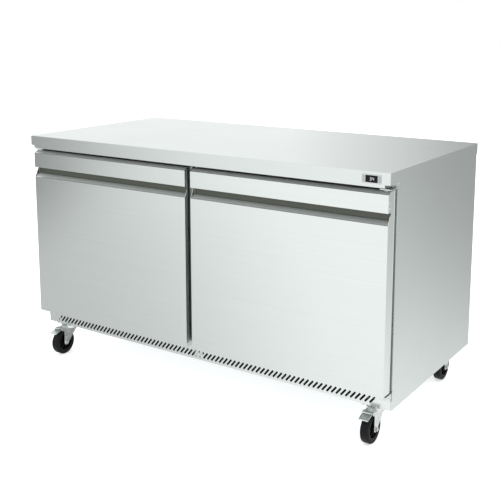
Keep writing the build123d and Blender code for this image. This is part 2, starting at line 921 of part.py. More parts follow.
condenser_y = panel_back - 14.0 - condenser_depth / 2
condenser_z = base_top + 8.0 + condenser_height / 2
condenser_coil = finned_coil(
    condenser_centre_x,
    condenser_y,
    condenser_z,
    condenser_width,
    condenser_depth,
    condenser_height,
    8,
)
with BuildPart() as condenser_with_feet:
    add(condenser_coil)
    for end in (-1, 1):
        foot_x = condenser_centre_x + end * condenser_width / 2
        block(
            (foot_x - 10.0, foot_x + 10.0),
            (condenser_y - 14.0, condenser_y + 14.0),
            (base_top, condenser_z - condenser_height / 2),
        )
finish(condenser_with_feet.part, "condenser_coil")


def axial_fan(x_mid, y_mid, z_mid, radius, bore):
    """Four-blade axial fan on a Y shaft."""
    with BuildPart() as fan:
        with BuildSketch(Plane.XZ.offset(-(y_mid - 8.0))):
            with Locations((x_mid, z_mid)):
                Circle(fan_hub_radius)
        extrude(amount=-16.0)
        for blade in range(4):
            turn = 90.0 * blade + 20.0
            root = Plane(
                origin=(x_mid, y_mid, z_mid),
                x_dir=(0, 1, 0),
                z_dir=(cos(radians(turn)), 0, sin(radians(turn))),
            )
            with BuildSketch(root.offset(fan_hub_radius - 3.0)):
                Rectangle(fan_blade_sheet, fan_root_chord, rotation=fan_blade_angle)
            with BuildSketch(root.offset(radius)):
                Rectangle(fan_blade_sheet, fan_tip_chord * radius, rotation=fan_blade_angle / 2)
            loft()
        with BuildSketch(Plane.XZ.offset(-(y_mid - 10.0))):
            with Locations((x_mid, z_mid)):
                Circle(bore)
        extrude(amount=-20.0, mode=Mode.SUBTRACT)
    return fan.part


fan_bore = fan_shaft_radius + running_clearance
evaporator_fan_y = cover_front + 20.0
evaporator_fan = axial_fan(0, evaporator_fan_y, evaporator_mid, evaporator_fan_radius - 14.0, fan_bore)
finish(evaporator_fan, "evaporator_fan")
condenser_fan_y = condenser_y - condenser_depth / 2 - 38.0
condenser_fan = axial_fan(
    condenser_centre_x, condenser_fan_y, condenser_z, condenser_fan_radius, fan_bore
)
finish(condenser_fan, "condenser_fan")

with BuildPart() as fan_motors:
    evaporator_motor_y = evaporator_fan_y + 12.0
    evaporator_motor_back = coil_y - evaporator_coil_depth / 2
    with BuildSketch(Plane.XZ.offset(-evaporator_motor_y)):
        with Locations((0, evaporator_mid)):
            Circle(motor_radius - 4.0)
    extrude(amount=-(evaporator_motor_back - evaporator_motor_y))
    with BuildSketch(Plane.XZ.offset(-(evaporator_fan_y - 8.0))):
        with Locations((0, evaporator_mid)):
            Circle(fan_shaft_radius)
    extrude(amount=-(evaporator_motor_y + 2.0 - evaporator_fan_y + 8.0))
    condenser_motor_y = condenser_fan_y - 12.0
    with BuildSketch(Plane.XZ.offset(-condenser_motor_y)):
        with Locations((condenser_centre_x, condenser_z)):
            Circle(motor_radius)
    extrude(amount=motor_length)
    with BuildSketch(Plane.XZ.offset(-(condenser_fan_y + 8.0))):
        with Locations((condenser_centre_x, condenser_z)):
            Circle(fan_shaft_radius)
    extrude(amount=condenser_fan_y + 8.0 - condenser_motor_y + 2.0)
    block(
        (condenser_centre_x - 12.0, condenser_centre_x + 12.0),
        (condenser_motor_y - motor_length + 4.0, condenser_motor_y - 4.0),
        (base_top, condenser_z - motor_radius + 3.0),
    )
finish(fan_motors.part, "fan_motors")

compressor_y = (machine_front + panel_back) / 2
with BuildPart() as compressor:
    shell_low = base_top + foot_height
    with BuildSketch(Plane.XY.offset(shell_low)):
        with Locations((compressor_centre_x, compressor_y)):
            Circle(compressor_radius)
    extrude(amount=compressor_height)
    rims = edges().filter_by(GeomType.CIRCLE)
    fillet(rims, radius=compressor_radius / 2.2)
    with BuildSketch(Plane.XY.offset(shell_low + compressor_height / 2 - 3.0)):
        with Locations((compressor_centre_x, compressor_y)):
            Circle(compressor_radius + 3.0)
    extrude(amount=6.0)
    block(
        (compressor_centre_x - compressor_foot / 2, compressor_centre_x + compressor_foot / 2),
        (compressor_y - 45.0, compressor_y + 45.0),
        (shell_low - 3.0, shell_low + 6.0),
    )
    with Locations((compressor_centre_x, compressor_y, base_top + (foot_height - 3.0) / 2)):
        with GridLocations(compressor_foot - 24.0, 66.0, 2, 2):
            Cylinder(10.0, foot_height - 3.0)
finish(compressor.part, "compressor")

with BuildPart() as drain_pan:
    pan_y = compressor_y
    block(
        (drain_pan_centre_x - drain_pan_width / 2, drain_pan_centre_x + drain_pan_width / 2),
        (pan_y - drain_pan_depth / 2, pan_y + drain_pan_depth / 2),
        (base_top, base_top + drain_pan_height),
    )
    fillet(edges().filter_by(Axis.Z), radius=12.0)
    block(
        (drain_pan_centre_x - drain_pan_width / 2 + 2.0, drain_pan_centre_x + drain_pan_width / 2 - 2.0),
        (pan_y - drain_pan_depth / 2 + 2.0, pan_y + drain_pan_depth / 2 - 2.0),
        (base_top + 2.0, base_top + drain_pan_height + 1),
        mode=Mode.SUBTRACT,
    )
finish(drain_pan.part, "drain_pan")

compressor_top = shell_low + compressor_height
condenser_end = condenser_centre_x - condenser_width / 2 - sheet
condenser_turn_x = condenser_end - 30.0
coil_end = -evaporator_coil_width / 2 - sheet
suction_level = shell_low + 70.0
discharge_level = machine_top - 60.0
liquid_level = condenser_z - 70.0
liquid_y = panel_back - 10.0
suction_x, liquid_x = pipe_pass_x
inlet_z = condenser_z + 60.0
pipe_routes = (
    (
        (compressor_centre_x, compressor_y, compressor_top - 4.0),
        (compressor_centre_x, compressor_y, discharge_level),
        (condenser_turn_x, compressor_y, discharge_level),
        (condenser_turn_x, condenser_y, discharge_level),
        (condenser_turn_x, condenser_y, inlet_z),
        (condenser_end, condenser_y, inlet_z),
    ),
    (
        (compressor_centre_x - compressor_radius + 6.0, coil_y, suction_level),
        (suction_x, coil_y, suction_level),
        (suction_x, coil_y, evaporator_mid + 40.0),
        (coil_end, coil_y, evaporator_mid + 40.0),
    ),
    (
        (condenser_end, condenser_y, liquid_level),
        (condenser_turn_x, condenser_y, liquid_level),
        (condenser_turn_x, liquid_y, liquid_level),
        (liquid_x, liquid_y, liquid_level),
        (liquid_x, coil_y, liquid_level),
        (liquid_x, coil_y, evaporator_mid - 40.0),
        (coil_end, coil_y, evaporator_mid - 40.0),
    ),
)
with BuildPart() as refrigerant_pipes:
    for route in pipe_routes:
        with BuildLine() as centre_line:
            FilletPolyline(*route, radius=pipe_bend)
        start = centre_line.line @ 0
        with BuildSketch(Plane(origin=start, z_dir=centre_line.line % 0)):
            Circle(pipe_radius)
        sweep(path=centre_line.line)
    with BuildSketch(Plane.YZ.offset(drier_start_x)):
        with Locations((liquid_y, liquid_level)):
            Circle(drier_radius)
    extrude(amount=drier_length)
finish(refrigerant_pipes.part, "refrigerant_pipes")

# ================================================================ casters
caster_places = (
    ("front_left", -wheel_x, front_swivel_y),
    ("front_right", wheel_x, front_swivel_y),
    ("rear_left", -wheel_x, rear_swivel_y),
    ("rear_right", wheel_x, rear_swivel_y),
)
crown_top = crown_bottom + fork_crown
lower_race_top = upper_race_bottom - race_gap
with BuildPart() as caster_plates:
    for place, swivel_x, swivel_y in caster_places:
        with BuildSketch(Plane.XY.offset(plate_bottom)):
            with Locations((swivel_x, swivel_y)):
                RectangleRounded(caster_plate_length, caster_plate_width, 6.0)
                with GridLocations(caster_bolt_x, caster_bolt_y, 2, 2):
                    Circle(caster_bolt_radius, mode=Mode.SUBTRACT)
        extrude(amount=caster_plate)
        with BuildSketch(Plane.XY.offset(upper_race_bottom)):
            with Locations((swivel_x, swivel_y)):
                Circle(upper_race_radius)
        extrude(amount=upper_race_height)
        pin_bottom = crown_bottom - race_gap
        with BuildSketch(Plane.XY.offset(pin_bottom)):
            with Locations((swivel_x, swivel_y)):
                Circle(kingpin_radius)
        extrude(amount=upper_race_bottom - pin_bottom)
        with BuildSketch(Plane.XY.offset(pin_bottom - kingpin_head)):
            with Locations((swivel_x, swivel_y)):
                Circle(kingpin_head_radius)
        extrude(amount=kingpin_head)
finish(caster_plates.part, "caster_plates")

bolt_head = 5.0
bolt_head_across = 13.0
with BuildPart() as caster_bolts:
    for place, swivel_x, swivel_y in caster_places:
        for low, tall, shape in (
            (plate_bottom - bolt_head, bolt_head, "hex"),
            (plate_bottom, caster_plate + sheet, "round"),
            (base_top, bolt_head, "hex"),
        ):
            with BuildSketch(Plane.XY.offset(low)):
                with Locations((swivel_x, swivel_y)):
                    with GridLocations(caster_bolt_x, caster_bolt_y, 2, 2):
                        if shape == "hex":
                            RegularPolygon(bolt_head_across / 2, 6, major_radius=False)
                        else:
                            Circle(caster_bolt_radius)
            extrude(amount=tall)
finish(caster_bolts.part, "caster_bolts")

fork_half = fork_inside / 2
fork_outer = fork_half + fork_sheet
cheek_forward = 9.0
lug_radius = 6.0
pivot_forward = 16.0
pivot_over_wheel = 6.0
for place, swivel_x, swivel_y in caster_places:
    axle_y = swivel_y - caster_offset
    crown_back = swivel_y + lower_race_radius - 2.0
    hinge_y = axle_y - pivot_forward
    hinge_z = 2 * wheel_radius + pivot_over_wheel
    braked = place.startswith("front")
    with BuildPart() as fork:
        for cheek in (swivel_x - fork_outer, swivel_x + fork_half):
            with BuildSketch(Plane.YZ.offset(cheek)):
                with BuildLine(mode=Mode.PRIVATE) as cheek_edges:
                    CenterArc((axle_y, axle_height), fork_eye_radius, 0, 360)
                    for level in (crown_top, crown_bottom):
                        Line((axle_y - cheek_forward, level), (crown_back, level))
                make_hull(cheek_edges.edges())
                if braked:
                    with BuildLine(mode=Mode.PRIVATE) as lug_edges:
                        CenterArc((hinge_y, hinge_z), lug_radius, 0, 360)
                        Line((axle_y, crown_top), (axle_y, hinge_z - lug_radius))
                    make_hull(lug_edges.edges())
            extrude(amount=fork_sheet)
        block(
            (swivel_x - fork_outer, swivel_x + fork_outer),
            (hinge_y + pedal_tube_radius + 2.0, crown_back),
            (crown_bottom, crown_top),
        )
        with BuildSketch(Plane.XY.offset(crown_bottom)):
            with Locations((swivel_x, swivel_y)):
                Circle(lower_race_radius)
        extrude(amount=lower_race_top - crown_bottom)
        with BuildSketch(Plane.XY.offset(crown_bottom - 1)):
            with Locations((swivel_x, swivel_y)):
                Circle(kingpin_radius + running_clearance)
        extrude(amount=lower_race_top - crown_bottom + 2, mode=Mode.SUBTRACT)
        with BuildSketch(Plane.YZ.offset(swivel_x - fork_outer - 1)):
            with Locations((axle_y, axle_height)):
                Circle(axle_radius)
        extrude(amount=2 * fork_outer + 2, mode=Mode.SUBTRACT)
        if braked:
            with BuildSketch(Plane.YZ.offset(swivel_x - fork_half)):
                with Locations((hinge_y, hinge_z)):
                    Circle(pedal_pin_radius)
            extrude(amount=fork_inside)
    finish(fork.part, f"{place}_fork")

    with BuildPart() as axle:
        with BuildSketch(Plane.YZ.offset(swivel_x - fork_outer - 5.0)):
            with Locations((axle_y, axle_height)):
                RegularPolygon(6.5, 6, major_radius=False)
        extrude(amount=5.0)
        with BuildSketch(Plane.YZ.offset(swivel_x - fork_outer)):
            with Locations((axle_y, axle_height)):
                Circle(axle_radius)
        extrude(amount=2 * fork_outer + 8.0)
        with BuildSketch(Plane.YZ.offset(swivel_x + fork_outer)):
            with Locations((axle_y, axle_height)):
                RegularPolygon(6.5, 6, major_radius=False)
        extrude(amount=6.0)
    finish(axle.part, f"{place}_axle")

    hub_radius = wheel_radius - tyre_thickness
    with BuildPart() as hub:
        with BuildSketch(Plane.YZ.offset(swivel_x - tread_width / 2)):
            with Locations((axle_y, axle_height)):
                Circle(hub_radius)
                Circle(hub_radius - hub_rim, mode=Mode.SUBTRACT)
        extrude(amount=tread_width)
        with BuildSketch(Plane.YZ.offset(swivel_x - hub_web / 2)):
            with Locations((axle_y, axle_height)):
                Circle(hub_radius - hub_rim / 2)
                Circle(axle_radius + running_clearance, mode=Mode.SUBTRACT)
        extrude(amount=hub_web)
        with BuildSketch(Plane.YZ.offset(swivel_x - fork_half + hub_side_gap)):
            with Locations((axle_y, axle_height)):
                Circle(hub_boss_radius)
                Circle(axle_radius + running_clearance, mode=Mode.SUBTRACT)
        extrude(amount=fork_inside - 2 * hub_side_gap)
    finish(hub.part, f"{place}_hub")

    with BuildPart() as tyre:
        with BuildSketch(Plane.YZ.offset(swivel_x - tread_width / 2)):
            with Locations((axle_y, axle_height)):
                Circle(wheel_radius)
        extrude(amount=tread_width)
        fillet(edges().filter_by(GeomType.CIRCLE), radius=tread_round)
        with BuildSketch(Plane.YZ.offset(swivel_x - tread_width / 2 - 1)):
            with Locations((axle_y, axle_height)):
                Circle(hub_radius)
        extrude(amount=tread_width + 2, mode=Mode.SUBTRACT)
    finish(tyre.part, f"{place}_tyre")

    if braked:
        pedal_low = swivel_x - pedal_width / 2
        with BuildPart() as pedal:
            with BuildSketch(Plane.YZ.offset(pedal_low)):
                with Locations((hinge_y, hinge_z)):
                    Circle(pedal_tube_radius)
                with BuildLine():
                    Polyline(
                        (hinge_y, hinge_z + 2.0),
                        (hinge_y - 14.0, hinge_z + 1.0),
                        (hinge_y - 38.0, hinge_z - 8.0),
                        (hinge_y - 38.0 - pedal_sheet / 3, hinge_z - 8.0 - pedal_sheet),
                        (hinge_y - 14.0, hinge_z - 2.0),
                        (hinge_y, hinge_z - 2.0),
                        close=True,
                    )
                make_face()
                with BuildLine():
                    Polyline(
                        (hinge_y, hinge_z + 1.0),
                        (hinge_y - 4.0, hinge_z + 4.0),
                        (hinge_y - 22.0, hinge_z + 11.0),
                        (hinge_y - 23.0, hinge_z + 11.0 - pedal_sheet),
                        (hinge_y - 6.0, hinge_z + 1.5),
                        close=True,
                    )
                make_face()
                with Locations((hinge_y, hinge_z)):
                    Circle(pedal_pin_radius + running_clearance, mode=Mode.SUBTRACT)
            extrude(amount=pedal_width)
        finish(pedal.part, f"{place}_brake_pedal")
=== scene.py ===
"""Studio scene of a two-door undercounter refrigerator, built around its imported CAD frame.

All sizes are in metres.  X runs along the front, +Y points to the back and +Z is up.
"""

import json
from math import cos, pi, radians, sin

import bmesh
import bpy
from mathutils import Matrix, Vector


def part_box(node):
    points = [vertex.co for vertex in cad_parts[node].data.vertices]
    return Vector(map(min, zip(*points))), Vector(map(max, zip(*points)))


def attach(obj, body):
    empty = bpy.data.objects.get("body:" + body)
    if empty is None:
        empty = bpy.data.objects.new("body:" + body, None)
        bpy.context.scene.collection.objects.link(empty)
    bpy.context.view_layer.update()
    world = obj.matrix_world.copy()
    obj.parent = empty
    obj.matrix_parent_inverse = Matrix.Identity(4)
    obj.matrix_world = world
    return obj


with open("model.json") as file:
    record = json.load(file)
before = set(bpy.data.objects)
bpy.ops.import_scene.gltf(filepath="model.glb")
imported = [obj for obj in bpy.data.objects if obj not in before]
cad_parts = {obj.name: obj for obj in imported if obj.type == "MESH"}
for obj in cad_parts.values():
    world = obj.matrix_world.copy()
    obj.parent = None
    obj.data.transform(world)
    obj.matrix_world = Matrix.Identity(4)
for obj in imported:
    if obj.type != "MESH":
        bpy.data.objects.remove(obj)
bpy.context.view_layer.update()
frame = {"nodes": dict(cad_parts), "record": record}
nodes = frame["nodes"]

SIDES = ("left", "right")
FRONT_CASTERS = ("front_left", "front_right")
CASTERS = FRONT_CASTERS + ("rear_left", "rear_right")
MM = 0.001

# sockets of a colour Mix node, whose names repeat
MIX_FACTOR = 0
MIX_A = 6
MIX_B = 7
MIX_RESULT = 2


# ---------------------------------------------------------------- material helpers
class Shader:
    """A principled material under construction, with short ways to add nodes."""

    def __init__(self, name, color, metallic=0.0, rough=0.5, **sockets):
        self.material = bpy.data.materials.new(name)
        self.material.use_nodes = True
        self.tree = self.material.node_tree
        self.surface = self.tree.nodes["Principled BSDF"]
        self.surface.inputs["Base Color"].default_value = (*color, 1)
        self.surface.inputs["Metallic"].default_value = metallic
        self.surface.inputs["Roughness"].default_value = rough
        for key, value in sockets.items():
            self.surface.inputs[key.replace("_", " ")].default_value = value
        self.material.diffuse_color = (*color, 1)
        self.color = color
        self.bump_input = None

    def add(self, kind, **settings):
        node = self.tree.nodes.new(kind)
        for key, value in settings.items():
            setattr(node, key, value)
        return node

    def link(self, source, target):
        self.tree.links.new(source, target)

    def coordinates(self, scale):
        """Object coordinates stretched by a scale on each axis."""
        place = self.add("ShaderNodeTexCoord")
        mapping = self.add("ShaderNodeMapping")
        mapping.inputs["Scale"].default_value = scale
        self.link(place.outputs["Object"], mapping.inputs["Vector"])
        return mapping.outputs["Vector"]

    def noise(self, scale, detail=4.0, rough=0.55, stretch=(1, 1, 1)):
        node = self.add("ShaderNodeTexNoise")
        node.inputs["Scale"].default_value = scale
        node.inputs["Detail"].default_value = detail
        node.inputs["Roughness"].default_value = rough
        self.link(self.coordinates(stretch), node.inputs["Vector"])
        return node.outputs["Fac"]

    def cells(self, scale):
        """The random colours of a pattern of cells, and the distance to each cell's centre."""
        node = self.add("ShaderNodeTexVoronoi")
        node.inputs["Scale"].default_value = scale
        self.link(self.coordinates((1, 1, 1)), node.inputs["Vector"])
        return node.outputs["Color"], node.outputs["Distance"]

    def remap(self, value, low, high, start=0.3, end=0.7):
        """Maps start..end of a value to low..high, held at both ends."""
        node = self.add("ShaderNodeMapRange")
        node.inputs["From Min"].default_value = start
        node.inputs["From Max"].default_value = end
        node.inputs["To Min"].default_value = low
        node.inputs["To Max"].default_value = high
        self.link(value, node.inputs["Value"])
        return node.outputs["Result"]

    def math(self, operation, first, second):
        """Combines two numbers or outputs."""
        node = self.add("ShaderNodeMath", operation=operation)
        for socket, value in zip(node.inputs, (first, second)):
            if isinstance(value, (int, float)):
                socket.default_value = value
            else:
                self.link(value, socket)
        return node.outputs["Value"]

    def shade(self, amount, low, high):
        """Varies the base colour between two multiples of itself."""
        mix = self.add("ShaderNodeMix", data_type="RGBA")
        mix.inputs[MIX_A].default_value = (*(c * low for c in self.color), 1)
        mix.inputs[MIX_B].default_value = (*(min(c * high, 1) for c in self.color), 1)
        self.link(amount, mix.inputs[MIX_FACTOR])
        self.link(mix.outputs[MIX_RESULT], self.surface.inputs["Base Color"])

    def feeding(self, socket):
        """The output that is linked to one of the surface's sockets."""
        return self.surface.inputs[socket].links[0].from_socket

    def roughness(self, value):
        self.link(value, self.surface.inputs["Roughness"])

    def bump(self, height, distance, strength):
        """Adds relief, on top of any that is there already."""
        node = self.add("ShaderNodeBump")
        node.inputs["Distance"].default_value = distance
        node.inputs["Strength"].default_value = strength
        self.link(height, node.inputs["Height"])
        if self.bump_input is not None:
            self.link(self.bump_input, node.inputs["Normal"])
        self.bump_input = node.outputs["Normal"]
        self.link(self.bump_input, self.surface.inputs["Normal"])


# scales of the noise along and across the brushing
GRAIN_ALONG = 9.0
GRAIN_ACROSS = 2400.0
STREAKS_ALONG = GRAIN_ALONG / 8
STREAKS_ACROSS = GRAIN_ACROSS / 12
GRAIN_DEPTH = 0.012 * MM


def along_axis(axis, along, across):
    """A scale for each of X, Y and Z, with its own value on one axis."""
    return [along if letter == axis else across for letter in "XYZ"]


def brushed_sheet(name, axis, color=(0.59, 0.617, 0.607), rough=0.15):
    """Stainless sheet with a fine brushed grain along one axis, faint smudges and wiped streaks."""
    shader = Shader(name, color, metallic=1.0, rough=rough)
    fine = along_axis(axis, GRAIN_ALONG, GRAIN_ACROSS)
    grain = shader.noise(1.0, detail=3.0, rough=0.6, stretch=fine)
    coarse = along_axis(axis, STREAKS_ALONG, STREAKS_ACROSS)
    streaks = shader.noise(1.0, detail=4.0, rough=0.6, stretch=coarse)
    smudges = shader.noise(2.1, detail=4.0, rough=0.55)
    prints = shader.noise(34.0, detail=3.0, rough=0.5)
    lines = shader.remap(grain, -0.025, 0.035)
    wiped = shader.remap(smudges, -0.02, 0.035, 0.3, 0.75)
    marks = shader.remap(prints, 0.0, 0.02, 0.58, 0.78)
    total = shader.math("ADD", shader.math("ADD", lines, wiped), shader.math("ADD", marks, rough))
    shader.roughness(total)
    tone = shader.math("ADD", shader.math("MULTIPLY", grain, 0.6), shader.math("MULTIPLY", streaks, 0.4))
    shader.shade(shader.remap(tone, 0.0, 1.0, 0.3, 0.7), 0.965, 1.03)
    shader.bump(grain, GRAIN_DEPTH, 0.6)
    return shader


def brushed_steel(name, axis, **finish):
    """The finished material of a brushed sheet."""
    return brushed_sheet(name, axis, **finish).material


# painted shade: dark olive colour painted on the back wall of the handles' finger channel, where shade
# falls under the lip
CHANNEL_PAINTED_SHADE = (0.125, 0.133, 0.112, 1)
CHANNEL_DULLNESS = 0.5
CHANNEL_START = (0.0005, 0.003)
# depths behind the face over which the painted shade on the back wall sets in
CHANNEL_BACK_WALL = (0.0195, 0.0225)
CHANNEL_END_SHEET = 0.0016


def handle_steel_painted_shade(name, node_name):
    """Brushed sheet whose finger channel is duller than its face, with painted shade on the channel's back
    wall: a dark colour stands in for the shade under the lip.
    """
    shader = brushed_sheet(name, "X")
    low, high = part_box(node_name)
    place = shader.add("ShaderNodeTexCoord")
    split = shader.add("ShaderNodeSeparateXYZ")
    shader.link(place.outputs["Object"], split.inputs["Vector"])

    def behind(depths):
        """Rises from 0 to 1 between two depths behind the handle's face."""
        start, end = (low.y + depth for depth in depths)
        return shader.remap(split.outputs["Y"], 0.0, 1.0, start, end)

    painted_shade_mask = behind(CHANNEL_BACK_WALL)
    channel = behind(CHANNEL_START)
    from_middle = shader.math("SUBTRACT", split.outputs["X"], (low.x + high.x) / 2)
    off_centre = shader.math("ABSOLUTE", from_middle, 0.0)
    inside = shader.math("LESS_THAN", off_centre, (high.x - low.x) / 2 - CHANNEL_END_SHEET)
    # paints shade onto the channel's back wall, away from the end sheets
    mix = shader.add("ShaderNodeMix", data_type="RGBA")
    shader.link(shader.feeding("Base Color"), mix.inputs[MIX_A])
    mix.inputs[MIX_B].default_value = CHANNEL_PAINTED_SHADE
    shader.link(shader.math("MULTIPLY", painted_shade_mask, inside), mix.inputs[MIX_FACTOR])
    shader.link(mix.outputs[MIX_RESULT], shader.surface.inputs["Base Color"])
    dull = shader.math("MULTIPLY", shader.math("MULTIPLY", channel, inside), CHANNEL_DULLNESS)
    shader.roughness(shader.math("ADD", shader.feeding("Roughness"), dull))
    return shader.material


def plated_zinc(name, color=(0.60, 0.63, 0.62), rough=0.24):
    """Zinc plate: soft cloudy tone with small crystals and a few dull patches."""
    shader = Shader(name, color, metallic=1.0, rough=rough)
    crystals, _ = shader.cells(420.0)
    cloud = shader.noise(60.0, detail=5.0)
    tone = shader.math("MULTIPLY", crystals, cloud)
    shader.shade(shader.remap(tone, 0.0, 1.0, 0.1, 0.5), 0.82, 1.12)
    shader.roughness(shader.remap(cloud, rough - 0.08, rough + 0.14))
    shader.bump(cloud, 0.0001, 0.4)
    return shader.material


def galvanised_sheet(name, color=(0.56, 0.58, 0.59)):
    """Hot-dipped sheet with a wide spangle."""
    shader = Shader(name, color, metallic=0.9, rough=0.45)
    crystals, distance = shader.cells(85.0)
    shader.shade(crystals, 0.85, 1.12)
    shader.roughness(shader.remap(distance, 0.36, 0.52, 0.0, 1.0))
    shader.bump(shader.noise(240.0), 0.0001, 0.3)
    return shader.material


def bright_screw(name):
    """Machined screw steel with fine turned lines."""
    shader = Shader(name, (0.66, 0.67, 0.68), metallic=1.0, rough=0.24)
    lines = shader.noise(900.0, detail=3.0)
    shader.roughness(shader.remap(lines, 0.17, 0.36))
    shader.shade(lines, 0.88, 1.08)
    return shader.material


def rubber(name, color, rough=0.62, grain=700.0):
    """Moulded rubber with a fine skin and light dusting."""
    shader = Shader(name, color, rough=rough, Specular_IOR_Level=0.14)
    skin = shader.noise(grain, detail=3.0)
    dust = shader.noise(38.0, detail=6.0, rough=0.62)
    shader.shade(shader.remap(dust, 0.0, 1.0, 0.4, 0.72), 0.82, 1.9)
    shader.roughness(shader.remap(dust, rough - 0.12, rough + 0.2))
    shader.bump(skin, 0.00012, 0.35)
    return shader.material


def moulded_plastic(name, color, rough=0.42, grain=900.0, depth=0.00004, specular=0.5):
    """Injection-moulded plastic with a spark-eroded grain and faint handling marks."""
    shader = Shader(name, color, rough=rough, Specular_IOR_Level=specular)
    skin = shader.noise(grain, detail=2.0)
    marks = shader.noise(12.0, detail=5.0)
    shader.shade(shader.remap(marks, 0.0, 1.0), 0.97, 1.025)
    shader.roughness(shader.remap(marks, rough - 0.03, rough + 0.06))
    shader.bump(skin, depth, 0.5)
    return shader.material


def enamel(name, color, rough=0.3):
    """Sprayed enamel with a slight orange peel."""
    shader = Shader(name, color, rough=rough, Coat_Weight=0.25)
    peel = shader.noise(210.0, detail=2.0)
    tone = shader.noise(9.0)
    shader.shade(tone, 0.85, 1.15)
    shader.roughness(shader.remap(tone, rough - 0.05, rough + 0.12))
    shader.bump(peel, 0.00008, 0.4)
    return shader.material


def copper_tube(name):
    """Drawn copper tube, slightly tarnished."""
    shader = Shader(name, (0.70, 0.36, 0.22), metallic=1.0, rough=0.3)
    tarnish = shader.noise(45.0, detail=6.0)
    shader.shade(shader.remap(tarnish, 0.0, 1.0), 0.6, 1.1)
    shader.roughness(shader.remap(tarnish, 0.22, 0.48))
    return shader.material


def foam(name):
    """Rigid polyurethane foam with small cells on its cut faces."""
    shader = Shader(name, (0.78, 0.68, 0.44), rough=0.9)
    _, distance = shader.cells(900.0)
    shader.shade(shader.noise(30.0), 0.88, 1.1)
    shader.bump(distance, 0.0003, 0.6)
    return shader.material


def dark_glass(name):
    """Tinted display window with faint wiping marks."""
    shader = Shader(name, (0.006, 0.006, 0.007), rough=0.25, Specular_IOR_Level=0.12)
    marks = shader.noise(160.0, detail=4.0)
    shader.roughness(shader.remap(marks, 0.2, 0.34))
    shader.shade(shader.noise(60.0), 0.7, 1.4)
    return shader.material


MATERIALS = {
    "stainless": brushed_steel("stainless_front", "X"),
    "zinc": plated_zinc("plated_zinc"),
    "galvanised": galvanised_sheet("galvanised_sheet"),
    "screw_steel": bright_screw("screw_steel"),
    "foam": foam("insulating_foam"),
    "liner": brushed_steel("liner_sheet", "X", rough=0.34),
    "door_panel_liner": moulded_plastic("door_panel_plastic", (0.78, 0.79, 0.79), rough=0.38),
    "seal": rubber("door_seal", (0.17, 0.172, 0.168), rough=0.5),
    "bush_plastic": moulded_plastic("bush_nylon", (0.75, 0.75, 0.72)),
    "controller": moulded_plastic("controller_plastic", (0.46, 0.47, 0.48), rough=0.34),
    "window": dark_glass("display_glass"),
    "key": moulded_plastic("key_plastic", (0.33, 0.34, 0.35), rough=0.4),
    "shelf_wire": enamel("shelf_coating", (0.80, 0.81, 0.81), rough=0.32),
    "coil": plated_zinc("coil_fins", color=(0.68, 0.69, 0.70), rough=0.4),
    "fan": moulded_plastic("fan_plastic", (0.03, 0.03, 0.034), rough=0.45),
    "motor": enamel("motor_enamel", (0.10, 0.105, 0.11)),
    "compressor": enamel("compressor_enamel", (0.015, 0.015, 0.016)),
    "copper": copper_tube("copper_tube"),
    "pan": moulded_plastic("tray_plastic", (0.16, 0.17, 0.18)),
    "hub": moulded_plastic("hub_nylon", (0.004, 0.0042, 0.005), rough=0.42, specular=0.14),
    "tyre": rubber("tyre_rubber", (0.0040, 0.0044, 0.0054), rough=0.5),
}
side_steel = brushed_steel("stainless_side", "Y", color=(0.565, 0.60, 0.589), rough=0.2)
top_steel = brushed_steel("stainless_top", "X", color=(0.565, 0.592, 0.583), rough=0.21)
NODE_MATERIALS = {"side_panel_left": side_steel, "side_panel_right": side_steel, "worktop": top_steel}
# the handles carry painted shade on the back wall of their finger channel
for side in SIDES:
    NODE_MATERIALS[f"{side}_door_handle"] = handle_steel_painted_shade(f"{side}_handle_steel_painted_shade", f"{side}_door_handle")

# widths of the rounded edges, in millimetres
BEVELLED = {
    "front_frame": 0.4,
    "side_panel_left": 0.5,
    "side_panel_right": 0.5,
    "kick_grille": 0.25,
    "hinge_brackets": 0.5,
    "left_door_handle": 0.5,
    "right_door_handle": 0.5,
    "left_door_skin": 0.5,
    "right_door_skin": 0.5,
    "left_door_gasket": 1.2,
    "right_door_gasket": 1.2,
    "controller_housing": 0.35,
    "caster_plates": 0.6,
    "cabinet_screws": 1.3,
    "caster_bolts": 0.5,
    "rear_grille": 0.25,
    "left_key": 0.8,
    "right_key": 0.8,
    "compressor": 1.5,
    "drain_pan": 0.8,
}
for caster in CASTERS:
    BEVELLED[f"{caster}_fork"] = 0.6
    BEVELLED[f"{caster}_hub"] = 0.6
for caster in FRONT_CASTERS:
    BEVELLED[f"{caster}_brake_pedal"] = 0.5
BEVEL_ANGLE = radians(32)
SMOOTH_ANGLE = radians(34)

for entry in frame["record"]["subparts"]:
    node = nodes[entry["node"]]
    material = NODE_MATERIALS.get(entry["node"], MATERIALS[entry["material_slot"]])
    node.data.materials.clear()
    node.data.materials.append(material)
for name, width in BEVELLED.items():
    bevel = nodes[name].modifiers.new("soft_edges", "BEVEL")
    bevel.width = width * MM
    bevel.segments = 2
    bevel.limit_method = "ANGLE"
    bevel.angle_limit = BEVEL_ANGLE


# ---------------------------------------------------------------- mesh helpers
def piece(name, bm, body, slot, material=None, smooth=True):
    """Makes a named object from a bmesh, which moves with a body and takes a slot's finish."""
    mesh = bpy.data.meshes.new(name)
    bm.normal_update()
    bm.to_mesh(mesh)
    bm.free()
    obj = bpy.data.objects.new(name, mesh)
    bpy.context.scene.collection.objects.link(obj)
    obj.data.materials.append(material or MATERIALS[slot])
    if smooth:
        for polygon in mesh.polygons:
            polygon.use_smooth = True
        mesh.set_sharp_from_angle(angle=SMOOTH_ANGLE)
    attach(obj, body)
    return obj


